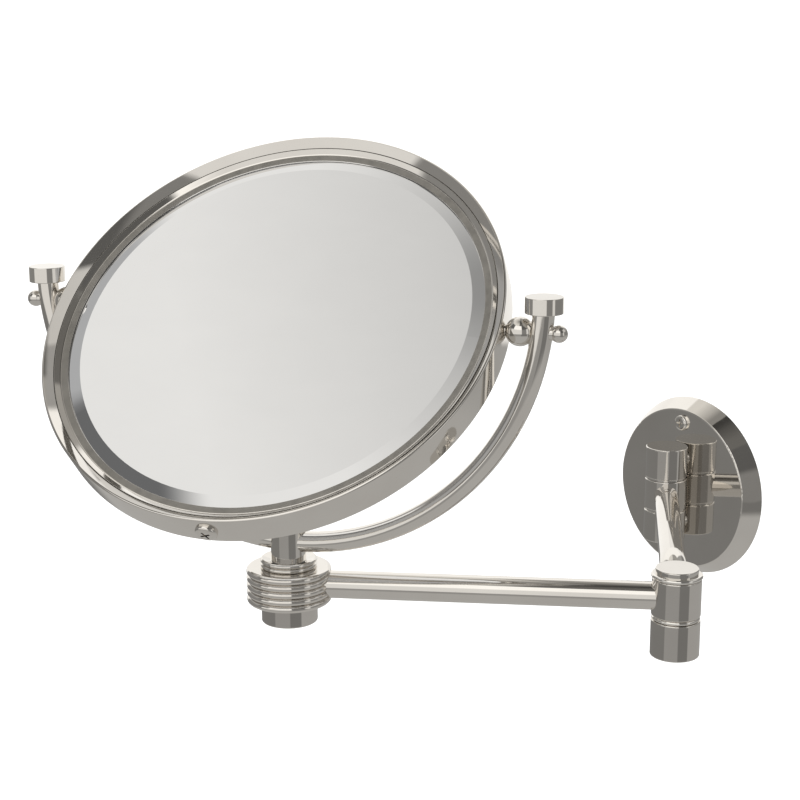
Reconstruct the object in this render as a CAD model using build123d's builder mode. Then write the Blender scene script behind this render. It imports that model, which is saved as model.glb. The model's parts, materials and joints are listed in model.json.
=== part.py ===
from build123d import *
import os
from math import asin, cos, degrees, radians, sin, sqrt

# Extendable shaving mirror for a bathroom wall. Millimetres, +Z up.
# The wall is the plane Y = 0, the room is at -Y, and the origin is the wall plate's centre.

# ---- driving dimensions -------------------------------------------------------------

# wall plate, concealed bracket and its screw
PLATE_BACK_R = 48.7
PLATE_FRONT_R = 43.5
PLATE_DEPTH = 9.8
PLATE_WALL = 1.6
PLATE_EDGE = 1.0
BRACKET_R = 45.0
BRACKET_THICK = 2.0
BOSS_R = 5.0
PLATE_SCREW_Z = 36.6
WALL_SCREW_X = 25.0
WALL_SCREW_HOLE_R = 2.5

# hinge knuckles, shared by the hub and the elbow
BARREL_R = 11.1
BARREL_HIGH = 16.5
BARREL_EDGE = 0.5
PIN_R = 4.0
BUSH_R = 6.0
RUNNING_GAP = 0.05
FACE_GAP = 0.1

# hub
HUB_Y = -21.25
HUB_WASHER_THICK = 0.9
HUB_WASHER_R = 10.5
POST_R = 3.0
POST_COLLAR_R = 5.0
POST_TIP_Y = -14.5
NUT_THICK = 4.0
NUT_ACROSS = 10.0

# arms
TUBE_R = 6.35
TUBE_WALL = 1.25
INNER_ARM_LENGTH = 161.7
INNER_ARM_DEG = -45.0
OUTER_ARM_LENGTH = 175.2
OUTER_ARM_DEG = -135.0

# elbow, as heights above the arms' common centre plane
ELBOW_CAP_TOP = 13.7
ELBOW_CAP_HIGH = 2.5
ELBOW_CAP_R = 9.65
TOP_BEAD_R = 11.6
TOP_BEAD_BOTTOM = 9.15
MID_BEAD_R = 10.9
MID_BEAD_TOP = -8.4
MID_BEAD_BOTTOM = -10.4
LOWER_BARREL_BOTTOM = -27.4
BLIND_FLOOR = 3.0
JOGGLE_START = 42.0
JOGGLE_END = 20.0
JOGGLE_R = 20.0

# ringed collar, neck and lower cap
COLLAR_R = 19.3
COLLAR_RINGS = 5
RING_PITCH = 3.3
COLLAR_BORE_R = 8.0
SOCKET_FLOOR_R = 16.8
SPINDLE_R = 5.0
NECK_R = 12.9
NECK_BEAD_HIGH = 2.1
DISH_R = 8.4
DISH_DEEP = 1.2
LOWER_CAP_R = 12.8
LOWER_CAP_BOTTOM = -17.7

# yoke
YOKE_DEG = 31.5
YOKE_R = 118.4
YOKE_TUBE_R = 4.76
YOKE_TUBE_WALL = 1.0
YOKE_CENTRE_Z = 138.7
STEM_R = 7.94
STEM_TOP = 27.0
END_CAP_R = 8.2
END_CAP_HIGH = 7.0
END_CAP_TOP = 139.6
TUBE_END_Z = 138.1
PIVOT_Z = 124.2
PIVOT_R = 2.4
SPACER_R = 6.35
SPACER_AT = 108.1
SPACER_OUTER_FACE = 113.4
SPACER_CLEARANCE = 0.2
KNOB_R = 3.75
KNOB_AT = 125.0
KNOB_NECK_R = 3.0
KNOB_NECK_FROM = 120.0

# mirror head, as radii from its centre and heights from its middle plane
MIRROR_TILT_DEG = 48.0
HEAD_DROP = 6.0
HEAD_ASIDE = 2.6
HEAD_R = 104.8
HEAD_HALF = 8.0
SHOULDER_R = 1.0
CREST_R = 103.75
LAND_R = 100.5
LAND_HEIGHT = 4.5
LIP_UNDER = 1.2
BAND_INNER_R = 101.8
BEZEL_R = 100.25
BEZEL_RIM_R = 100.0
CHANNEL_R = 97.4
CHANNEL_HEIGHT = 1.9
BEZEL_INNER_R = 94.6
BEZEL_TOP = 2.3
FLANGE_R = 101.6
BOARD_HALF = 0.4
GLASS_R = 96.2
GLASS_TOP = 2.3
GLASS_EDGE_TOP = 1.3
BEVEL_R = 89.0
GLASS_GAP = 0.2
REAR_HOLLOW = 0.9
BUSH_OUTER_R = 4.5
FRAME_SCREW_DEG = 272.0

# cross-head screws
PLATE_SCREW_HEAD_R = 4.25
FRAME_SCREW_HEAD_R = 4.8
SCREW_HEAD_HIGH = 2.3
SCREW_SHANK_R = 2.0
RECESS_WIDTH = 0.9
RECESS_DEEP = 1.4

# ---- places derived from the dimensions ---------------------------------------------

HUB = Vector(0, HUB_Y, 0)


def heading(degrees_from_x):
    """Level unit vector at this angle from +X."""
    return Vector(cos(radians(degrees_from_x)), sin(radians(degrees_from_x)), 0)


def section_at(point):
    """Upright section plane: local X is the radius from a vertical axis, local Y the height."""
    return Plane(origin=(point.X, point.Y, 0), x_dir=(1, 0, 0), z_dir=(0, -1, 0))


def upright_axis(point):
    """Vertical axis through the point."""
    return Axis((point.X, point.Y, 0), (0, 0, 1))


INNER_HEADING = heading(INNER_ARM_DEG)
OUTER_HEADING = heading(OUTER_ARM_DEG)
ELBOW = HUB + INNER_HEADING * INNER_ARM_LENGTH
COLLAR = ELBOW + OUTER_HEADING * OUTER_ARM_LENGTH
COLLAR_HALF = COLLAR_RINGS * RING_PITCH / 2

MIDDLE_HALF = BARREL_HIGH / 2 - FACE_GAP
FIXED_BARREL_START = BARREL_HIGH / 2 + HUB_WASHER_THICK
FIXED_BARREL_END = FIXED_BARREL_START + BARREL_HIGH
POST_Z = (FIXED_BARREL_START + FIXED_BARREL_END) / 2
PLATE_INSIDE_Y = PLATE_WALL - PLATE_DEPTH

TOP_BEAD_TOP = ELBOW_CAP_TOP - ELBOW_CAP_HIGH
UPPER_BARREL_TOP = TOP_BEAD_BOTTOM - FACE_GAP
UPPER_BARREL_BOTTOM = MID_BEAD_TOP + FACE_GAP
LOWER_BARREL_MID = (LOWER_BARREL_BOTTOM + MID_BEAD_BOTTOM) / 2

NECK_TOP = COLLAR_HALF + 2 * NECK_BEAD_HIGH
STEM_FOOT = NECK_TOP - DISH_DEEP + FACE_GAP

PIVOT_LINE = heading(YOKE_DEG)
YOKE_NORMAL = heading(YOKE_DEG - 90)
YOKE_PLANE = Plane(
    origin=(COLLAR.X, COLLAR.Y, YOKE_CENTRE_Z), x_dir=PIVOT_LINE, z_dir=YOKE_NORMAL
)
PIVOT_CENTRE = Vector(COLLAR.X, COLLAR.Y, PIVOT_Z)
HEAD_NORMAL = YOKE_NORMAL * cos(radians(MIRROR_TILT_DEG)) + Vector(0, 0, sin(radians(MIRROR_TILT_DEG)))
# the pivots lie above the middle of the head, so that it hangs steady, and it sits a little to one side
HEAD_UP = HEAD_NORMAL.cross(PIVOT_LINE)
HEAD_CENTRE = PIVOT_CENTRE - HEAD_UP * HEAD_DROP - PIVOT_LINE * HEAD_ASIDE
HEAD_PLANE = Plane(origin=HEAD_CENTRE, x_dir=PIVOT_LINE, z_dir=HEAD_NORMAL)
HEAD_SECTION = Plane(origin=HEAD_CENTRE, x_dir=PIVOT_LINE, z_dir=-HEAD_PLANE.y_dir)
HEAD_AXIS = Axis(HEAD_CENTRE, HEAD_NORMAL)
PIVOT_AXIS = Axis(PIVOT_CENTRE, PIVOT_LINE)
PIVOT_REACH = HEAD_R + HEAD_ASIDE
FROM_BASE = (Align.CENTER, Align.CENTER, Align.MIN)


# ---- shapes that repeat -------------------------------------------------------------


def rod(start, direction, radius, length, mode=Mode.ADD):
    """Add or cut a round rod that starts at a point and runs along a direction."""
    with Locations(Plane(origin=start, z_dir=direction)):
        Cylinder(radius, length, align=FROM_BASE, mode=mode)


def barrel(centre, bottom, top, radius, bore):
    """Upright knuckle or sleeve with a through bore and softened outer edges."""
    with BuildPart() as piece:
        with BuildSketch(Plane((centre.X, centre.Y, bottom))):
            Circle(radius)
        extrude(amount=top - bottom)
        fillet(piece.edges().filter_by(GeomType.CIRCLE), BARREL_EDGE)
        rod((centre.X, centre.Y, bottom), (0, 0, 1), bore, top - bottom, Mode.SUBTRACT)
    return piece


def sleeve(centre, bottom, top, outer, inner):
    """Plain upright bearing sleeve or flat washer."""
    with BuildPart() as piece:
        with BuildSketch(Plane((centre.X, centre.Y, bottom))):
            Circle(outer)
            Circle(inner, mode=Mode.SUBTRACT)
        extrude(amount=top - bottom)
    return piece


def bead(centre, bottom, top, radius, bore):
    """Upright washer whose rim is a half round."""
    rim = (top - bottom) / 2
    with BuildPart() as piece:
        with BuildSketch(section_at(centre)):
            with BuildLine():
                Polyline((radius - rim, top), (bore, top), (bore, bottom), (radius - rim, bottom))
                ThreePointArc((radius - rim, bottom), (radius, bottom + rim), (radius - rim, top))
            make_face()
        revolve(axis=upright_axis(centre))
    return piece


def cross_head_screw(seat, outward, head_r, shank_length):
    """Pan-head screw on its seat: domed head outwards, shank inwards, cross recess in the head."""
    head = Plane(origin=seat, z_dir=outward)
    dome_start = SCREW_HEAD_HIGH * 0.35
    crown_r = head_r * 0.66
    with BuildPart() as piece:
        with BuildSketch(Plane(origin=seat, x_dir=head.x_dir, z_dir=-head.y_dir)):
            with BuildLine():
                Polyline(
                    (crown_r, SCREW_HEAD_HIGH),
                    (0, SCREW_HEAD_HIGH),
                    (0, -shank_length),
                    (SCREW_SHANK_R, -shank_length),
                    (SCREW_SHANK_R, 0),
                    (head_r, 0),
                    (head_r, dome_start),
                )
                ThreePointArc(
                    (head_r, dome_start),
                    (head_r * 0.9, SCREW_HEAD_HIGH * 0.79),
                    (crown_r, SCREW_HEAD_HIGH),
                )
            make_face()
        revolve(axis=Axis(seat, outward))
        with BuildSketch(head.offset(SCREW_HEAD_HIGH)):
            Rectangle(head_r, RECESS_WIDTH)
            Rectangle(RECESS_WIDTH, head_r)
        extrude(amount=-RECESS_DEEP, mode=Mode.SUBTRACT)
    return piece


def along_yoke(radius, end_z, mode=Mode.ADD):
    """Add or cut a rod along the yoke's half circle, with its ends at this height."""
    trim = degrees(asin((YOKE_CENTRE_Z - end_z) / YOKE_R))
    with BuildLine(YOKE_PLANE) as path:
        CenterArc((0, 0), YOKE_R, 180 + trim, 180 - 2 * trim)
    with BuildSketch(Plane(origin=path.line @ 0, z_dir=path.line % 0)) as section:
        Circle(radius)
    sweep(sections=section.sketch, path=path.line, mode=mode)


def pivot_point(distance):
    """Point on the tilt axis at this signed distance from the middle of the yoke."""
    return PIVOT_CENTRE + PIVOT_LINE * distance


# ---- wall side ----------------------------------------------------------------------

# cover plate: a flared dish with a flat front, hollow behind
with BuildPart() as wall_plate:
    with BuildSketch(Plane.XY):
        with BuildLine():
            Polyline(
                (0, -PLATE_DEPTH),
                (PLATE_FRONT_R, -PLATE_DEPTH),
                (PLATE_BACK_R, 0),
                (PLATE_BACK_R - PLATE_WALL, 0),
                (PLATE_FRONT_R - PLATE_WALL, PLATE_INSIDE_Y),
                (0, PLATE_INSIDE_Y),
                close=True,
            )
        make_face()
    revolve(axis=Axis.Y)
    fillet(wall_plate.edges().filter_by(GeomType.CIRCLE).sort_by(Axis.Y)[0], PLATE_EDGE)
    with BuildSketch(Plane.XZ):
        with Locations((0, POST_Z), (0, -POST_Z)):
            Circle(POST_R)
        with Locations((0, PLATE_SCREW_Z)):
            Circle(SCREW_SHANK_R)
    extrude(amount=PLATE_DEPTH, mode=Mode.SUBTRACT)

# concealed bracket: a disc on the wall with two bosses that meet the inside of the plate
with BuildPart() as wall_bracket:
    with BuildSketch(Plane.XZ):
        Circle(BRACKET_R)
        with Locations((-WALL_SCREW_X, 0), (WALL_SCREW_X, 0)):
            Circle(WALL_SCREW_HOLE_R, mode=Mode.SUBTRACT)
    extrude(amount=BRACKET_THICK)
    with BuildSketch(Plane.XZ.offset(BRACKET_THICK)):
        with Locations((0, PLATE_SCREW_Z), (0, -PLATE_SCREW_Z)):
            Circle(BOSS_R)
    extrude(amount=-PLATE_INSIDE_Y - BRACKET_THICK)
    rod((0, PLATE_INSIDE_Y, PLATE_SCREW_Z), (0, 1, 0), SCREW_SHANK_R, -PLATE_INSIDE_Y, Mode.SUBTRACT)

plate_screw = cross_head_screw(
    (0, -PLATE_DEPTH, PLATE_SCREW_Z), (0, -1, 0), PLATE_SCREW_HEAD_R, PLATE_DEPTH - 1.0
)

# threaded posts: each runs through the plate into the back of a fixed knuckle
with BuildPart() as hub_posts:
    for side in (1, -1):
        nut_face = PLATE_INSIDE_Y + NUT_THICK + 1.0
        rod((0, nut_face, side * POST_Z), (0, -1, 0), POST_R, nut_face - POST_TIP_Y)
        rod((0, -PLATE_DEPTH, side * POST_Z), (0, -1, 0), POST_COLLAR_R, 2.0)
    rod((0, HUB_Y, -FIXED_BARREL_END), (0, 0, 1), BARREL_R, 2 * FIXED_BARREL_END, Mode.SUBTRACT)
    for side in (1, -1):
        rod((0, -PLATE_DEPTH, side * POST_Z), (0, -1, 0), POST_R, -PLATE_DEPTH - POST_TIP_Y)

with BuildPart() as hub_nuts:
    with BuildSketch(Plane.XZ.offset(-PLATE_INSIDE_Y - NUT_THICK)):
        with Locations((0, POST_Z), (0, -POST_Z)):
            RegularPolygon(NUT_ACROSS / 2, 6, major_radius=False)
            Circle(POST_R, mode=Mode.SUBTRACT)
    extrude(amount=NUT_THICK)


def hoop_reach(radius):
    """How far a circle of the head reaches along the tilt axis, at the far edge of the pivot bushes."""
    return sqrt(radius**2 - (HEAD_DROP + BUSH_OUTER_R) ** 2)


def fixed_barrel(side):
    """Fixed hub knuckle above (1) or below (-1) the middle one, blind to the outside."""
    low = min(side * FIXED_BARREL_START, side * FIXED_BARREL_END)
    with BuildPart() as piece:
        with BuildSketch(Plane((0, HUB_Y, low))):
            Circle(BARREL_R)
        extrude(amount=BARREL_HIGH)
        fillet(piece.edges().filter_by(GeomType.CIRCLE), BARREL_EDGE)
        start = (0, HUB_Y, side * FIXED_BARREL_START)
        rod(start, (0, 0, side), PIN_R, BARREL_HIGH - BLIND_FLOOR, Mode.SUBTRACT)
        rod((0, -PLATE_DEPTH, side * POST_Z), (0, -1, 0), POST_R, -PLATE_DEPTH - POST_TIP_Y, Mode.SUBTRACT)
    return piece


hub_top_barrel = fixed_barrel(1)
hub_bottom_barrel = fixed_barrel(-1)

with BuildPart() as hub_pin:
    pin_end = FIXED_BARREL_END - BLIND_FLOOR
    rod((0, HUB_Y, -pin_end), (0, 0, 1), PIN_R, 2 * pin_end)

with BuildPart() as hub_washers:
    for low in (BARREL_HIGH / 2, -FIXED_BARREL_START):
        rod((0, HUB_Y, low), (0, 0, 1), HUB_WASHER_R, HUB_WASHER_THICK)
    rod((0, HUB_Y, -FIXED_BARREL_END), (0, 0, 1), PIN_R, 2 * FIXED_BARREL_END, Mode.SUBTRACT)

# ---- inner arm ----------------------------------------------------------------------

hub_middle_barrel = barrel(HUB, -MIDDLE_HALF, MIDDLE_HALF, BARREL_R, BUSH_R)
hub_bush = sleeve(HUB, -MIDDLE_HALF, MIDDLE_HALF, BUSH_R, PIN_R + RUNNING_GAP)

# tube: level from the hub, then an S-bend down to the elbow's lower knuckle
with BuildPart() as inner_arm_tube:
    arm_side = Plane(origin=HUB, x_dir=INNER_HEADING, z_dir=heading(INNER_ARM_DEG - 90))
    with BuildLine(arm_side) as arm_path:
        FilletPolyline(
            (BUSH_R, 0),
            (INNER_ARM_LENGTH - JOGGLE_START, 0),
            (INNER_ARM_LENGTH - JOGGLE_END, LOWER_BARREL_MID),
            (INNER_ARM_LENGTH - BUSH_R, LOWER_BARREL_MID),
            radius=JOGGLE_R,
        )
    with BuildSketch(Plane(origin=arm_path.line @ 0, z_dir=arm_path.line % 0)):
        Circle(TUBE_R)
        Circle(TUBE_R - TUBE_WALL, mode=Mode.SUBTRACT)
    sweep(path=arm_path.line)
    rod(HUB - Vector(0, 0, BARREL_HIGH), (0, 0, 1), BARREL_R, 2 * BARREL_HIGH, Mode.SUBTRACT)
    elbow_base = ELBOW + Vector(0, 0, LOWER_BARREL_BOTTOM)
    rod(elbow_base, (0, 0, 1), BARREL_R, -LOWER_BARREL_BOTTOM, Mode.SUBTRACT)

with BuildPart() as elbow_lower_barrel:
    with BuildSketch(Plane((ELBOW.X, ELBOW.Y, LOWER_BARREL_BOTTOM))):
        Circle(BARREL_R)
    extrude(amount=MID_BEAD_BOTTOM - LOWER_BARREL_BOTTOM)
    fillet(elbow_lower_barrel.edges().filter_by(GeomType.CIRCLE), BARREL_EDGE)
    pin_foot = ELBOW + Vector(0, 0, LOWER_BARREL_BOTTOM + BLIND_FLOOR)
    rod(pin_foot, (0, 0, 1), PIN_R, MID_BEAD_BOTTOM - pin_foot.Z, Mode.SUBTRACT)

elbow_mid_bead = bead(ELBOW, MID_BEAD_BOTTOM, MID_BEAD_TOP, MID_BEAD_R, PIN_R)
elbow_top_bead = bead(ELBOW, TOP_BEAD_BOTTOM, TOP_BEAD_TOP, TOP_BEAD_R, PIN_R)

with BuildPart() as elbow_pin:
    rod(pin_foot, (0, 0, 1), PIN_R, TOP_BEAD_TOP + ELBOW_CAP_HIGH / 2 - pin_foot.Z)

with BuildPart() as elbow_cap:
    rod(ELBOW + Vector(0, 0, TOP_BEAD_TOP), (0, 0, 1), ELBOW_CAP_R, ELBOW_CAP_HIGH)
    fillet(elbow_cap.edges().filter_by(GeomType.CIRCLE).sort_by(Axis.Z)[-1], BARREL_EDGE)
    rod(ELBOW + Vector(0, 0, TOP_BEAD_TOP), (0, 0, 1), PIN_R, ELBOW_CAP_HIGH / 2, Mode.SUBTRACT)

# ---- outer arm ----------------------------------------------------------------------

elbow_upper_barrel = barrel(ELBOW, UPPER_BARREL_BOTTOM, UPPER_BARREL_TOP, BARREL_R, BUSH_R)
elbow_bush = sleeve(ELBOW, UPPER_BARREL_BOTTOM, UPPER_BARREL_TOP, BUSH_R, PIN_R + RUNNING_GAP)

with BuildPart() as outer_arm_tube:
    tube_length = OUTER_ARM_LENGTH - SOCKET_FLOOR_R
    rod(ELBOW, OUTER_HEADING, TUBE_R, tube_length)
    rod(ELBOW, OUTER_HEADING, TUBE_R - TUBE_WALL, tube_length, Mode.SUBTRACT)
    rod(ELBOW - Vector(0, 0, BARREL_HIGH), (0, 0, 1), BARREL_R, 2 * BARREL_HIGH, Mode.SUBTRACT)

# collar: half-round rings turned on its outside, with a round socket for the tube's end
with BuildPart() as ringed_collar:
    groove_r = COLLAR_R - RING_PITCH / 2
    with BuildSketch(section_at(COLLAR)):
        with BuildLine():
            for ring in range(COLLAR_RINGS):
                ring_foot = -COLLAR_HALF + ring * RING_PITCH
                ThreePointArc(
                    (groove_r, ring_foot),
                    (COLLAR_R, ring_foot + RING_PITCH / 2),
                    (groove_r, ring_foot + RING_PITCH),
                )
            Polyline(
                (groove_r, COLLAR_HALF),
                (COLLAR_BORE_R, COLLAR_HALF),
                (COLLAR_BORE_R, -COLLAR_HALF),
                (groove_r, -COLLAR_HALF),
            )
        make_face()
    revolve(axis=upright_axis(COLLAR))
    socket_floor = COLLAR - OUTER_HEADING * SOCKET_FLOOR_R
    rod(socket_floor, -OUTER_HEADING, TUBE_R, COLLAR_R, Mode.SUBTRACT)

collar_bush = sleeve(COLLAR, -COLLAR_HALF, COLLAR_HALF, COLLAR_BORE_R, SPINDLE_R + RUNNING_GAP)

# neck: two small beads, with a shallow dish in the top for the stem's foot
with BuildPart() as collar_neck:
    neck_rim = NECK_BEAD_HIGH / 2
    with BuildSketch(section_at(COLLAR)):
        with BuildLine():
            for bead_foot in (COLLAR_HALF, COLLAR_HALF + NECK_BEAD_HIGH):
                ThreePointArc(
                    (NECK_R - neck_rim, bead_foot),
                    (NECK_R, bead_foot + neck_rim),
                    (NECK_R - neck_rim, bead_foot + NECK_BEAD_HIGH),
                )
            Polyline(
                (NECK_R - neck_rim, NECK_TOP),
                (DISH_R, NECK_TOP - DISH_DEEP),
                (SPINDLE_R + RUNNING_GAP, NECK_TOP - DISH_DEEP),
                (SPINDLE_R + RUNNING_GAP, COLLAR_HALF),
                (NECK_R - neck_rim, COLLAR_HALF),
            )
        make_face()
    revolve(axis=upright_axis(COLLAR))

# ---- yoke ---------------------------------------------------------------------------

# stem: a spindle down through the collar and a thicker head that the yoke tube runs through
with BuildPart() as yoke_stem:
    spindle_foot = LOWER_CAP_BOTTOM + BLIND_FLOOR
    rod(COLLAR + Vector(0, 0, STEM_FOOT), (0, 0, 1), STEM_R, STEM_TOP - STEM_FOOT)
    fillet(yoke_stem.edges().filter_by(GeomType.CIRCLE).sort_by(Axis.Z)[-1], BARREL_EDGE)
    rod(COLLAR + Vector(0, 0, spindle_foot), (0, 0, 1), SPINDLE_R, STEM_FOOT - spindle_foot)
    along_yoke(YOKE_TUBE_R, TUBE_END_Z, Mode.SUBTRACT)

with BuildPart() as collar_cap:
    cap_top = -COLLAR_HALF - FACE_GAP
    rod(COLLAR + Vector(0, 0, LOWER_CAP_BOTTOM), (0, 0, 1), LOWER_CAP_R, cap_top - LOWER_CAP_BOTTOM)
    fillet(collar_cap.edges().filter_by(GeomType.CIRCLE).sort_by(Axis.Z)[0], 0.6)
    rod(COLLAR + Vector(0, 0, spindle_foot), (0, 0, 1), SPINDLE_R, cap_top - spindle_foot, Mode.SUBTRACT)

with BuildPart() as yoke_tube:
    along_yoke(YOKE_TUBE_R, TUBE_END_Z)
    along_yoke(YOKE_TUBE_R - YOKE_TUBE_WALL, TUBE_END_Z, Mode.SUBTRACT)
    rod(pivot_point(-YOKE_R - YOKE_TUBE_R), PIVOT_LINE, PIVOT_R, 2 * (YOKE_R + YOKE_TUBE_R), Mode.SUBTRACT)

with BuildPart() as yoke_end_caps:
    with BuildSketch(Plane.XY.offset(END_CAP_TOP - END_CAP_HIGH)):
        with Locations(*[tuple(COLLAR + PIVOT_LINE * side * YOKE_R)[:2] for side in (1, -1)]):
            Circle(END_CAP_R)
    extrude(amount=END_CAP_HIGH)
    fillet(yoke_end_caps.edges().filter_by(GeomType.CIRCLE), 0.3)
    along_yoke(YOKE_TUBE_R, TUBE_END_Z, Mode.SUBTRACT)

# thumb screws: a ball knob on a neck that saddles the tube, and a shank through it into the hoop
with BuildPart() as pivot_screws:
    neck_end = KNOB_AT - sqrt(KNOB_R**2 - KNOB_NECK_R**2)
    for side in (1, -1):
        with BuildSketch(Plane(origin=PIVOT_CENTRE, x_dir=PIVOT_LINE * side, z_dir=YOKE_NORMAL * side)):
            with BuildLine():
                ThreePointArc((neck_end, KNOB_NECK_R), (KNOB_AT, KNOB_R), (KNOB_AT + KNOB_R, 0))
                Polyline(
                    (KNOB_AT + KNOB_R, 0),
                    (KNOB_NECK_FROM, 0),
                    (KNOB_NECK_FROM, KNOB_NECK_R),
                    (neck_end, KNOB_NECK_R),
                )
            make_face()
        revolve(axis=PIVOT_AXIS)
    along_yoke(YOKE_TUBE_R, TUBE_END_Z, Mode.SUBTRACT)
    for side in (1, -1):
        tip = BAND_INNER_R + 0.1 - side * HEAD_ASIDE
        rod(pivot_point(side * tip), PIVOT_LINE * side, PIVOT_R, KNOB_AT - tip)

# spacers: balls with a flat towards the hoop, a through bore and a saddle against the tube
with BuildPart() as ball_spacers:
    outer_flat_r = sqrt(SPACER_R**2 - (SPACER_AT - SPACER_OUTER_FACE) ** 2)
    for side in (1, -1):
        inner_face = HEAD_R + SPACER_CLEARANCE - side * HEAD_ASIDE
        inner_flat_r = sqrt(SPACER_R**2 - (SPACER_AT - inner_face) ** 2)
        middle = (inner_face + SPACER_OUTER_FACE) / 2
        middle_r = sqrt(SPACER_R**2 - (SPACER_AT - middle) ** 2)
        with BuildSketch(Plane(origin=PIVOT_CENTRE, x_dir=PIVOT_LINE * side, z_dir=YOKE_NORMAL * side)):
            with BuildLine():
                ThreePointArc(
                    (inner_face, inner_flat_r), (middle, middle_r), (SPACER_OUTER_FACE, outer_flat_r)
                )
                Polyline(
                    (SPACER_OUTER_FACE, outer_flat_r),
                    (SPACER_OUTER_FACE, PIVOT_R),
                    (inner_face, PIVOT_R),
                    (inner_face, inner_flat_r),
                )
            make_face()
        revolve(axis=PIVOT_AXIS)
    along_yoke(YOKE_TUBE_R, TUBE_END_Z, Mode.SUBTRACT)

# ---- mirror head --------------------------------------------------------------------

# hoop: a C-section with rounded crests, whose faces slope down towards the bezels
with BuildPart() as mirror_band:
    with BuildSketch(HEAD_SECTION) as band_section:
        with BuildLine():
            Polyline(
                (HEAD_R, -HEAD_HALF),
                (HEAD_R, HEAD_HALF),
                (CREST_R, HEAD_HALF),
                (LAND_R, LAND_HEIGHT),
                (LAND_R, LIP_UNDER),
                (BAND_INNER_R, LIP_UNDER),
                (BAND_INNER_R, -LIP_UNDER),
                (LAND_R, -LIP_UNDER),
                (LAND_R, -LAND_HEIGHT),
                (CREST_R, -HEAD_HALF),
                close=True,
            )
        make_face()
        fillet(band_section.vertices().group_by(Axis.X)[-1], SHOULDER_R)
    revolve(axis=HEAD_AXIS)
    rod(pivot_point(-PIVOT_REACH), PIVOT_LINE, BUSH_OUTER_R, 2 * PIVOT_REACH, Mode.SUBTRACT)
    screw_way = HEAD_PLANE.from_local_coords(heading(FRAME_SCREW_DEG)) - HEAD_CENTRE
    screw_seat = HEAD_CENTRE + screw_way * (HEAD_R - 0.15)
    rod(screw_seat, screw_way, FRAME_SCREW_HEAD_R, 1.0, Mode.SUBTRACT)
    rod(HEAD_CENTRE, screw_way, SCREW_SHANK_R, HEAD_R, Mode.SUBTRACT)


def bezel(side):
    """Inner rim on the front (1) or rear (-1): a slope, a channel, a lip and a flange under the hoop."""
    glass_edge = GLASS_R + GLASS_GAP
    with BuildPart() as piece:
        with BuildSketch(HEAD_SECTION):
            with BuildLine():
                Polyline(
                    (BEZEL_INNER_R, side * BEZEL_TOP),
                    (CHANNEL_R, side * CHANNEL_HEIGHT),
                    (BEZEL_RIM_R, side * LAND_HEIGHT),
                    (BEZEL_R, side * LAND_HEIGHT),
                    (BEZEL_R, side * LIP_UNDER),
                    (FLANGE_R, side * LIP_UNDER),
                    (FLANGE_R, side * BOARD_HALF),
                    (glass_edge, side * BOARD_HALF),
                    (glass_edge, side * (GLASS_EDGE_TOP + GLASS_GAP)),
                    (BEZEL_INNER_R, side * (GLASS_EDGE_TOP + 2 * GLASS_GAP)),
                    close=True,
                )
            make_face()
        revolve(axis=HEAD_AXIS)
    return piece


front_bezel = bezel(1)
rear_bezel = bezel(-1)

with BuildPart() as front_glass:
    with BuildSketch(HEAD_SECTION):
        with BuildLine():
            Polyline(
                (0, GLASS_TOP),
                (BEVEL_R, GLASS_TOP),
                (GLASS_R, GLASS_EDGE_TOP),
                (GLASS_R, BOARD_HALF),
                (0, BOARD_HALF),
                close=True,
            )
        make_face()
    revolve(axis=HEAD_AXIS)

with BuildPart() as rear_glass:
    hollow_r = (BEVEL_R**2 + REAR_HOLLOW**2) / (2 * REAR_HOLLOW)
    mid_r = BEVEL_R / 2
    mid_sag = hollow_r - sqrt(hollow_r**2 - mid_r**2)
    with BuildSketch(HEAD_SECTION):
        with BuildLine():
            ThreePointArc(
                (0, REAR_HOLLOW - GLASS_TOP), (mid_r, REAR_HOLLOW - GLASS_TOP - mid_sag), (BEVEL_R, -GLASS_TOP)
            )
            Polyline(
                (BEVEL_R, -GLASS_TOP),
                (GLASS_R, -GLASS_EDGE_TOP),
                (GLASS_R, -BOARD_HALF),
                (0, -BOARD_HALF),
                (0, REAR_HOLLOW - GLASS_TOP),
            )
        make_face()
    revolve(axis=HEAD_AXIS)

with BuildPart() as backing_board:
    rod(HEAD_CENTRE - HEAD_NORMAL * BOARD_HALF, HEAD_NORMAL, FLANGE_R, 2 * BOARD_HALF)

frame_screw = cross_head_screw(screw_seat, screw_way, FRAME_SCREW_HEAD_R, HEAD_R - BAND_INNER_R)

with BuildPart() as pivot_bushes:
    bush_long = hoop_reach(HEAD_R) - 0.1 - BAND_INNER_R
    for side in (1, -1):
        rod(pivot_point(side * BAND_INNER_R - HEAD_ASIDE), PIVOT_LINE * side, BUSH_OUTER_R, bush_long)
    rod(pivot_point(-PIVOT_REACH), PIVOT_LINE, PIVOT_R + RUNNING_GAP, 2 * PIVOT_REACH, Mode.SUBTRACT)

# ---- one STEP file for each piece ---------------------------------------------------

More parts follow.
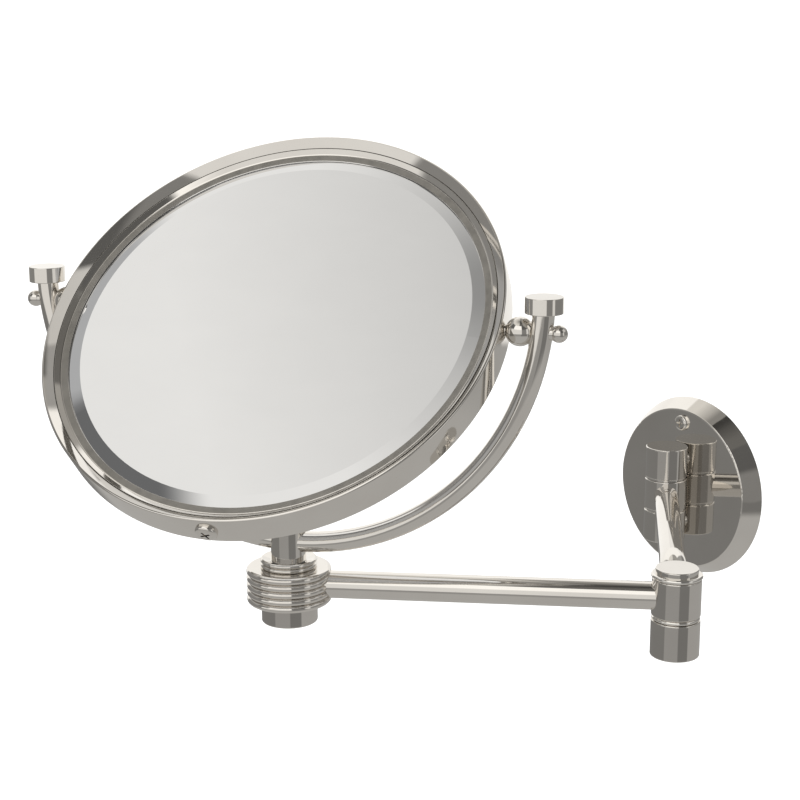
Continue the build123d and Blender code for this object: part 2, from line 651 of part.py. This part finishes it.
pieces = {
    "wall_plate": wall_plate,
    "wall_bracket": wall_bracket,
    "plate_screw": plate_screw,
    "hub_posts": hub_posts,
    "hub_nuts": hub_nuts,
    "hub_top_barrel": hub_top_barrel,
    "hub_bottom_barrel": hub_bottom_barrel,
    "hub_pin": hub_pin,
    "hub_washers": hub_washers,
    "hub_middle_barrel": hub_middle_barrel,
    "hub_bush": hub_bush,
    "inner_arm_tube": inner_arm_tube,
    "elbow_lower_barrel": elbow_lower_barrel,
    "elbow_mid_bead": elbow_mid_bead,
    "elbow_top_bead": elbow_top_bead,
    "elbow_pin": elbow_pin,
    "elbow_cap": elbow_cap,
    "elbow_upper_barrel": elbow_upper_barrel,
    "elbow_bush": elbow_bush,
    "outer_arm_tube": outer_arm_tube,
    "ringed_collar": ringed_collar,
    "collar_bush": collar_bush,
    "collar_neck": collar_neck,
    "yoke_stem": yoke_stem,
    "collar_cap": collar_cap,
    "yoke_tube": yoke_tube,
    "yoke_end_caps": yoke_end_caps,
    "pivot_screws": pivot_screws,
    "ball_spacers": ball_spacers,
    "mirror_band": mirror_band,
    "front_bezel": front_bezel,
    "rear_bezel": rear_bezel,
    "front_glass": front_glass,
    "rear_glass": rear_glass,
    "backing_board": backing_board,
    "frame_screw": frame_screw,
    "pivot_bushes": pivot_bushes,
}

os.makedirs("parts", exist_ok=True)
for name, piece in pieces.items():
    piece.part.label = name
    export_step(piece.part, f"parts/{name}.step")
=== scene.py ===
import math

import bmesh
import bpy
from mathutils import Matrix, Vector
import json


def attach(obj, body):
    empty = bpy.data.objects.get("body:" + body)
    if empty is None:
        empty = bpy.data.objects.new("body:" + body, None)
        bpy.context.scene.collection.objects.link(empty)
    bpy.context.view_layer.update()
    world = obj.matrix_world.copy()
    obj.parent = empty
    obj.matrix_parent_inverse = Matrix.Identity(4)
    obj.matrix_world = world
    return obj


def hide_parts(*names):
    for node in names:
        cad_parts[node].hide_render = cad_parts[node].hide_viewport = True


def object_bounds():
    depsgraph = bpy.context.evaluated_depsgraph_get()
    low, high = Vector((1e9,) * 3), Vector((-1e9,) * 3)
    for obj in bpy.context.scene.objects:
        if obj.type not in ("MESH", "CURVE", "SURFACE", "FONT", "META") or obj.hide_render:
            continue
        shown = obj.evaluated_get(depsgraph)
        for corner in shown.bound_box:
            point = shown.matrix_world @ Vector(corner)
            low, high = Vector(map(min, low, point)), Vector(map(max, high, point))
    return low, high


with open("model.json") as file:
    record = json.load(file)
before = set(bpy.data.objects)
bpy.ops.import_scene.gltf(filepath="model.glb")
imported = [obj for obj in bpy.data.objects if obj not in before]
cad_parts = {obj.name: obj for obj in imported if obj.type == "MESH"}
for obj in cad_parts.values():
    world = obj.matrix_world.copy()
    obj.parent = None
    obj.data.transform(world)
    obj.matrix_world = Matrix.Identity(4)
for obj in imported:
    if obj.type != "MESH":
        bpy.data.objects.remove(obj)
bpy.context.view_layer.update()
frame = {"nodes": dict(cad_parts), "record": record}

# Extendable shaving mirror in polished nickel. Metres, the CAD frame: the wall is Y = 0, the room is at -Y.


# ---- materials ----------------------------------------------------------------------


def new_material(name, colour, metallic, roughness):
    """A material with one Principled shader whose constants sit on its own sockets."""
    material = bpy.data.materials.new(name)
    material.use_nodes = True
    shader = material.node_tree.nodes["Principled BSDF"]
    shader.inputs["Base Color"].default_value = (*colour, 1)
    shader.inputs["Metallic"].default_value = metallic
    shader.inputs["Roughness"].default_value = roughness
    return material, shader


def noise(material, scale, detail, stretch=(1, 1, 1)):
    """Object-space noise, stretched along the axes, as a value from 0 to 1."""
    nodes, links = material.node_tree.nodes, material.node_tree.links
    place = nodes.new("ShaderNodeTexCoord")
    mapping = nodes.new("ShaderNodeMapping")
    mapping.inputs["Scale"].default_value = stretch
    texture = nodes.new("ShaderNodeTexNoise")
    texture.inputs["Scale"].default_value = scale
    texture.inputs["Detail"].default_value = detail
    links.new(place.outputs["Object"], mapping.inputs["Vector"])
    links.new(mapping.outputs["Vector"], texture.inputs["Vector"])
    return texture.outputs["Fac"]


def ranged(material, value, low, high):
    """The value spread from low to high."""
    node = material.node_tree.nodes.new("ShaderNodeMapRange")
    node.inputs["From Min"].default_value = 0.3
    node.inputs["From Max"].default_value = 0.7
    node.inputs["To Min"].default_value = low
    node.inputs["To Max"].default_value = high
    material.node_tree.links.new(value, node.inputs["Value"])
    return node.outputs["Result"]


def blended(material, value, first, second):
    """Two colours mixed by the value."""
    node = material.node_tree.nodes.new("ShaderNodeMix")
    node.data_type = "RGBA"
    node.inputs["A"].default_value = (*first, 1)
    node.inputs["B"].default_value = (*second, 1)
    material.node_tree.links.new(value, node.inputs["Factor"])
    return node.outputs["Result"]


def bumped(material, shader, value, strength, distance):
    """A fine relief on the shader's normal."""
    node = material.node_tree.nodes.new("ShaderNodeBump")
    node.inputs["Strength"].default_value = strength
    node.inputs["Distance"].default_value = distance
    material.node_tree.links.new(value, node.inputs["Height"])
    material.node_tree.links.new(node.outputs["Normal"], shader.inputs["Normal"])


def polished_metal(name, colour, tarnish, roughness, relief):
    """Plated metal: cloudy tint, wiping marks in the gloss and a hint of waviness."""
    material, shader = new_material(name, colour, 1.0, roughness)
    links = material.node_tree.links
    cloud = ranged(material, noise(material, 38, 3), 0, 1)
    links.new(blended(material, cloud, colour, tarnish), shader.inputs["Base Color"])
    wipe = noise(material, 260, 6, (1, 1, 0.25))
    links.new(ranged(material, wipe, roughness, roughness * 1.9), shader.inputs["Roughness"])
    bumped(material, shader, noise(material, 900, 2), relief, 0.00002)
    return material


def turned_metal(name, colour, dark, roughness):
    """Bare metal with fine machining lines."""
    material, shader = new_material(name, colour, 1.0, roughness)
    links = material.node_tree.links
    lines = noise(material, 900, 4, (0.2, 0.2, 4))
    links.new(blended(material, ranged(material, lines, 0, 1), colour, dark), shader.inputs["Base Color"])
    links.new(ranged(material, lines, roughness, roughness * 1.5), shader.inputs["Roughness"])
    bumped(material, shader, lines, 0.4, 0.00005)
    return material


def silvered_glass(name):
    """Mirror glass: a clean silver reflection with the faintest smears."""
    silver, haze = (0.945, 0.96, 0.99), (0.925, 0.94, 0.97)
    material, shader = new_material(name, silver, 1.0, 0.015)
    links = material.node_tree.links
    smear = noise(material, 30, 5, (1, 1, 2.5))
    links.new(blended(material, ranged(material, smear, 0, 1), silver, haze), shader.inputs["Base Color"])
    links.new(ranged(material, smear, 0.01, 0.03), shader.inputs["Roughness"])
    return material


def moulded_board(name):
    """Black moulded board with a fine grain."""
    material, shader = new_material(name, (0.015, 0.015, 0.016), 0.0, 0.6)
    links = material.node_tree.links
    grain = noise(material, 700, 3)
    links.new(ranged(material, grain, 0.5, 0.7), shader.inputs["Roughness"])
    tint = blended(material, grain, (0.012, 0.012, 0.013), (0.03, 0.03, 0.031))
    links.new(tint, shader.inputs["Base Color"])
    bumped(material, shader, grain, 0.5, 0.0001)
    return material


NICKEL = (0.80, 0.775, 0.735)

LOOKS = {
    "polished_nickel": polished_metal("polished_nickel", NICKEL, (0.76, 0.73, 0.69), 0.035, 0.02),
    "washer_nickel": polished_metal("washer_nickel", (0.86, 0.84, 0.80), (0.82, 0.79, 0.75), 0.03, 0.02),
    "screw_nickel": polished_metal("screw_nickel", NICKEL, (0.70, 0.67, 0.63), 0.06, 0.05),
    "zinc_steel": turned_metal("zinc_steel", (0.55, 0.56, 0.57), (0.42, 0.43, 0.45), 0.3),
    "pin_steel": turned_metal("pin_steel", (0.55, 0.55, 0.55), (0.4, 0.4, 0.4), 0.25),
    "bearing_brass": turned_metal("bearing_brass", (0.72, 0.53, 0.25), (0.55, 0.39, 0.17), 0.28),
    "looking_glass": silvered_glass("looking_glass"),
    "enlarging_glass": silvered_glass("enlarging_glass"),
    "board_plastic": moulded_board("board_plastic"),
}

# the lip beside the glass: rougher nickel, its colour darkened with painted shade for the dark reflection
# in the recess
PAINTED_SHADE_NICKEL = polished_metal("satin_nickel_painted_shade", (0.33, 0.318, 0.298), (0.29, 0.28, 0.26), 0.3, 0.05)

for part in frame["record"]["subparts"]:
    node = frame["nodes"][part["node"]]
    node.data.materials.clear()
    node.data.materials.append(LOOKS[part["material_slot"]])


# ---- mirror rim ---------------------------------------------------------------------

# the rim's rings are turned more finely than their CAD solids, so that long reflections stay smooth
HEAD_DROP = 0.006
HEAD_ASIDE = 0.0026
LEAN = math.radians(48)
PIVOT_BORE_R = 0.00245
DRILL_LENGTH = 0.25
RING_SEGMENTS = 480
SHARPEST_SMOOTH = math.radians(32)
FLAT_ENOUGH = 0.97

TILT = next(joint for joint in frame["record"]["behaviour"]["joints"] if joint["name"] == "mirror_tilt")
PIVOT_CENTRE = Vector(TILT["pos_m"])
PIVOT_LINE = Vector(TILT["axis"])
HEAD_NORMAL = PIVOT_LINE.cross(Vector((0, 0, 1))) * math.cos(LEAN) + Vector((0, 0, math.sin(LEAN)))
HEAD_UP = HEAD_NORMAL.cross(PIVOT_LINE)
HEAD_CENTRE = PIVOT_CENTRE - HEAD_UP * HEAD_DROP - PIVOT_LINE * HEAD_ASIDE


def rounded(corners, steps=6):
    """Closed outline in metres from corners in millimetres, each (radius, height, rounding)."""
    outline = []
    for index, (radius, height, rounding) in enumerate(corners):
        here = Vector((radius, height))
        if not rounding:
            outline.append(here / 1000)
            continue
        before = (Vector(corners[index - 1][:2]) - here).normalized()
        after = (Vector(corners[(index + 1) % len(corners)][:2]) - here).normalized()
        half = before.angle(after) / 2
        centre = here + (before + after).normalized() * rounding / math.sin(half)
        first = here + before * rounding / math.tan(half) - centre
        last = here + after * rounding / math.tan(half) - centre
        for step in range(steps + 1):
            way = first.lerp(last, step / steps).normalized()
            outline.append((centre + way * rounding) / 1000)
    return outline


def turned_ring(name, outline):
    """Ring about the head's axis with this closed section."""
    points, faces = [], []
    count = len(outline)
    for segment in range(RING_SEGMENTS):
        angle = 2 * math.pi * segment / RING_SEGMENTS
        outward = PIVOT_LINE * math.cos(angle) + HEAD_UP * math.sin(angle)
        points += [HEAD_CENTRE + outward * radius + HEAD_NORMAL * height for radius, height in outline]
        near, far = segment * count, (segment + 1) % RING_SEGMENTS * count
        for here in range(count):
            following = (here + 1) % count
            faces.append((near + here, near + following, far + following, far + here))
    mesh = bpy.data.meshes.new(name)
    mesh.from_pydata(points, [], faces)
    shape = bmesh.new()
    shape.from_mesh(mesh)
    bmesh.ops.recalc_face_normals(shape, faces=shape.faces)
    shape.to_mesh(mesh)
    shape.free()
    ring = bpy.data.objects.new(name, mesh)
    bpy.context.scene.collection.objects.link(ring)
    return ring


def drill(ring):
    """Cut a bore along the tilt axis through both sides of the ring."""
    mesh = bpy.data.meshes.new("bit")
    shape = bmesh.new()
    turn = PIVOT_LINE.to_track_quat("Z", "Y").to_matrix().to_4x4()
    turn.translation = PIVOT_CENTRE
    bmesh.ops.create_cone(
        shape,
        cap_ends=True,
        segments=48,
        radius1=PIVOT_BORE_R,
        radius2=PIVOT_BORE_R,
        depth=DRILL_LENGTH,
        matrix=turn,
    )
    shape.to_mesh(mesh)
    shape.free()
    bit = bpy.data.objects.new("bit", mesh)
    bpy.context.scene.collection.objects.link(bit)
    cut = ring.modifiers.new("bore", "BOOLEAN")
    cut.object = bit
    ring.data = bpy.data.meshes.new_from_object(ring.evaluated_get(bpy.context.evaluated_depsgraph_get()))
    ring.modifiers.clear()
    bpy.data.objects.remove(bit)


def finish_ring(ring, node):
    """Shade the ring, smooth except at its real edges, and let it stand for its node on the mirror head."""
    ring.data.shade_smooth()
    ring.data.set_sharp_from_angle(angle=SHARPEST_SMOOTH)
    ring.data.materials.clear()
    ring.data.materials.append(LOOKS["polished_nickel"])
    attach(ring, "mirror_head")
    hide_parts(node)


# sections as (radius, height, rounding) in millimetres: the hoop is open inwards, with sloping faces
HOOP_SECTION = [
    (104.8, -8, 1.0),
    (104.8, 8, 1.0),
    (103.75, 8, 0.04),
    (100.5, 4.5, 0.1),
    (100.5, 1.2, 0),
    (101.8, 1.2, 0),
    (101.8, -1.2, 0),
    (100.5, -1.2, 0),
    (100.5, -4.5, 0.1),
    (103.75, -8, 0.04),
]
# lip beside the glass, hollow, rim against the hoop, flange under the hoop, seat over the glass's edge
BEZEL_SECTION = [
    (94.6, 2.3, 0.12),
    (97.9, 2.7, 1.5),
    (100.0, 4.5, 0.08),
    (100.25, 4.5, 0.08),
    (100.25, 1.2, 0),
    (101.6, 1.2, 0),
    (101.6, 0.4, 0),
    (96.4, 0.4, 0),
    (96.4, 1.5, 0),
    (94.6, 1.7, 0.1),
]

hoop = turned_ring("hoop", rounded(HOOP_SECTION))
drill(hoop)
finish_ring(hoop, "mirror_band")

for side, name in ((1, "front"), (-1, "rear")):
    section = [(radius, side * height, rounding) for radius, height, rounding in BEZEL_SECTION]
    rim = turned_ring(name + "_rim", rounded(section))
    finish_ring(rim, name + "_bezel")
    # the faces that lie nearly flat, the lip among them, take the rougher nickel darkened with painted
    # shade
    rim.data.materials.append(PAINTED_SHADE_NICKEL)
    for face in rim.data.polygons:
        if abs(face.normal.dot(HEAD_NORMAL)) > FLAT_ENOUGH:
            face.material_index = 1


# ---- studio -------------------------------------------------------------------------

# directions are bearings about +Z, measured from the direction towards the camera, to the camera's right
CAMERA_BEARING = math.radians(50.91)
CAMERA_RISE = math.radians(14.10)
PANEL_EDGE = 0.004
OPEN_LIGHT = 1.3
NEAR_FLOOR_LIGHT = 0.46
FLOOR_DROP = 0.16
FLOOR_HALF = 9

# (elevation where the studio changes, softness of the change), both in degrees
NEAR_FLOOR_END = (-27, 5)
HORIZON = (-12, 0.8)
LOW_WALL_TOP = (22, 4)
CEILING_START = (51, 1.5)

# panels as (bearing in degrees where one starts, brightness)
WALL_PANELS = [
    (-180, 1.15),
    (-140, 0.42),
    (-95, 0.14),
    (-57, 1.25),
    (10, 0.12),
    (58, 0.68),
    (100, 0.40),
    (140, 1.15),
]
LOW_WALL_PANELS = [
    (-180, 1.1),
    (-140, 0.27),
    (-75, 0.85),
    (10, 0.25),
    (46, 0.78),
    (62, 0.25),
    (141, 1.0),
]
FLOOR_PANELS = [(-180, 0.22), (-58, 0.34), (6, 0.20), (53, 0.40), (158, 0.30)]
CEILING_PANELS = [(-180, 0.82), (-12, 0.16), (120, 0.4)]
# (elevation in degrees, share of the ceiling's brightness)
OVERHEAD = [(62, 1.0), (77, 0.62), (84, 0.35)]


def new_world():
    """White studio. Reflections see its panels: floor, low walls, walls and ceiling, each by bearing."""
    world = bpy.data.worlds.new("studio")
    bpy.context.scene.world = world
    world.use_nodes = True
    tree = world.node_tree
    nodes, links = tree.nodes, tree.links
    nodes.clear()

    def math_node(operation, *values):
        node = nodes.new("ShaderNodeMath")
        node.operation = operation
        for socket, value in zip(node.inputs, values):
            if isinstance(value, (int, float)):
                socket.default_value = value
            else:
                links.new(value, socket)
        return node.outputs[0]

    def warm(level):
        return (level, level * 0.985, level * 0.955, 1)

    def ramp(value, stops):
        node = nodes.new("ShaderNodeValToRGB")
        elements = node.color_ramp.elements
        while len(elements) > 1:
            elements.remove(elements[-1])
        for index, (place, level) in enumerate(stops):
            element = elements[0] if index == 0 else elements.new(place)
            element.position = place
            element.color = warm(level)
        links.new(value, node.inputs["Fac"])
        return node.outputs["Color"]

    def mixed(factor, first, second):
        node = nodes.new("ShaderNodeMix")
        node.data_type = "RGBA"
        links.new(factor, node.inputs["Factor"])
        for socket, value in ((node.inputs["A"], first), (node.inputs["B"], second)):
            if isinstance(value, tuple):
                socket.default_value = value
            else:
                links.new(value, socket)
        return node.outputs["Result"]

    def panels(levels):
        """Colour by bearing, with soft edges between the panels."""
        stops = [(0.0, levels[0][1])]
        for (_, level_before), (start, level) in zip(levels, levels[1:]):
            place = (start + 180) / 360
            stops += [(place - PANEL_EDGE, level_before), (place + PANEL_EDGE, level)]
        return ramp(bearing01, stops)

    def step(edge_deg, soft_deg):
        """0 below this elevation and 1 above it, with a soft edge."""
        node = nodes.new("ShaderNodeMapRange")
        node.interpolation_type = "SMOOTHSTEP"
        node.inputs["From Min"].default_value = (edge_deg - soft_deg) / 180 + 0.5
        node.inputs["From Max"].default_value = (edge_deg + soft_deg) / 180 + 0.5
        links.new(rise01, node.inputs["Value"])
        return node.outputs["Result"]

    where = nodes.new("ShaderNodeTexCoord")
    turn = nodes.new("ShaderNodeMapping")
    turn.vector_type = "POINT"
    turn.inputs["Rotation"].default_value = (0, 0, math.pi / 2 - CAMERA_BEARING)
    links.new(where.outputs["Generated"], turn.inputs["Vector"])
    axes = nodes.new("ShaderNodeSeparateXYZ")
    links.new(turn.outputs["Vector"], axes.inputs["Vector"])
    bearing = math_node("ARCTAN2", axes.outputs["Y"], axes.outputs["X"])
    bearing01 = math_node("MULTIPLY_ADD", bearing, 0.5 / math.pi, 0.5)
    rise = math_node("ARCSINE", axes.outputs["Z"])
    rise01 = math_node("MULTIPLY_ADD", rise, 1 / math.pi, 0.5)

    overhead = ramp(rise01, [(0.5 + elevation / 180, share) for elevation, share in OVERHEAD])
    darkening = nodes.new("ShaderNodeMix")
    darkening.data_type = "RGBA"
    darkening.blend_type = "MULTIPLY"
    darkening.inputs["Factor"].default_value = 1.0
    links.new(panels(CEILING_PANELS), darkening.inputs["A"])
    links.new(overhead, darkening.inputs["B"])

    floor = mixed(step(*NEAR_FLOOR_END), warm(NEAR_FLOOR_LIGHT), panels(FLOOR_PANELS))
    walls = mixed(step(*LOW_WALL_TOP), panels(LOW_WALL_PANELS), panels(WALL_PANELS))
    lower = mixed(step(*HORIZON), floor, walls)
    seen = mixed(step(*CEILING_START), lower, darkening.outputs["Result"])

    path = nodes.new("ShaderNodeLightPath")
    lit = mixed(path.outputs["Is Glossy Ray"], (OPEN_LIGHT, OPEN_LIGHT, OPEN_LIGHT, 1), seen)
    background = nodes.new("ShaderNodeBackground")
    links.new(lit, background.inputs["Color"])
    output = nodes.new("ShaderNodeOutputWorld")
    links.new(background.outputs["Background"], output.inputs["Surface"])


def new_floor():
    """Pale floor well below the mirror. It stays out of reflections, where the studio's own floor shows."""
    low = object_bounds()[0].z - FLOOR_DROP
    mesh = bpy.data.meshes.new("floor")
    corners = [(x * FLOOR_HALF, y * FLOOR_HALF, low) for x, y in ((-1, -1), (1, -1), (1, 1), (-1, 1))]
    mesh.from_pydata(corners, [], [(0, 1, 2, 3)])
    floor = bpy.data.objects.new("floor", mesh)
    bpy.context.scene.collection.objects.link(floor)
    material, shader = new_material("pale_floor", (0.93, 0.93, 0.93), 0.0, 0.9)
    shader.inputs["Specular IOR Level"].default_value = 0.0
    speckle = noise(material, 60, 4)
    material.node_tree.links.new(
        blended(material, speckle, (0.96, 0.96, 0.96), (1.0, 1.0, 1.0)), shader.inputs["Base Color"]
    )
    mesh.materials.append(material)
    floor.visible_glossy = False


def new_light(name, place, target, size, power):
    """Soft square studio light aimed at a point; it isn't seen in reflections."""
    data = bpy.data.lights.new(name, "AREA")
    data.size = size
    data.energy = power
    light = bpy.data.objects.new(name, data)
    light.location = place
    light.rotation_euler = (Vector(target) - Vector(place)).to_track_quat("-Z", "Y").to_euler()
    light.visible_glossy = False
    light.visible_camera = False
    bpy.context.scene.collection.objects.link(light)


def new_camera():
    """Camera at the product view: a long lens, level, seen from the right and slightly above."""
    data = bpy.data.cameras.new("camera")
    data.lens = 77.05
    data.sensor_width = 36.0
    data.shift_x = -0.036
    data.shift_y = 0.0122
    camera = bpy.data.objects.new("camera", data)
    camera.location = (0.60427, -0.67601, 0.26697)
    camera.rotation_euler = (math.pi / 2 - CAMERA_RISE, 0, CAMERA_BEARING)
    bpy.context.scene.collection.objects.link(camera)
    bpy.context.scene.camera = camera


new_world()
new_floor()
new_light("soft_key", (-0.9, -1.6, 1.9), (0, -0.15, 0), 1.6, 6)
new_light("soft_fill", (1.5, -0.6, 1.4), (0, -0.15, 0), 1.4, 3)
new_camera()
bpy.context.scene.view_settings.view_transform = "Standard"
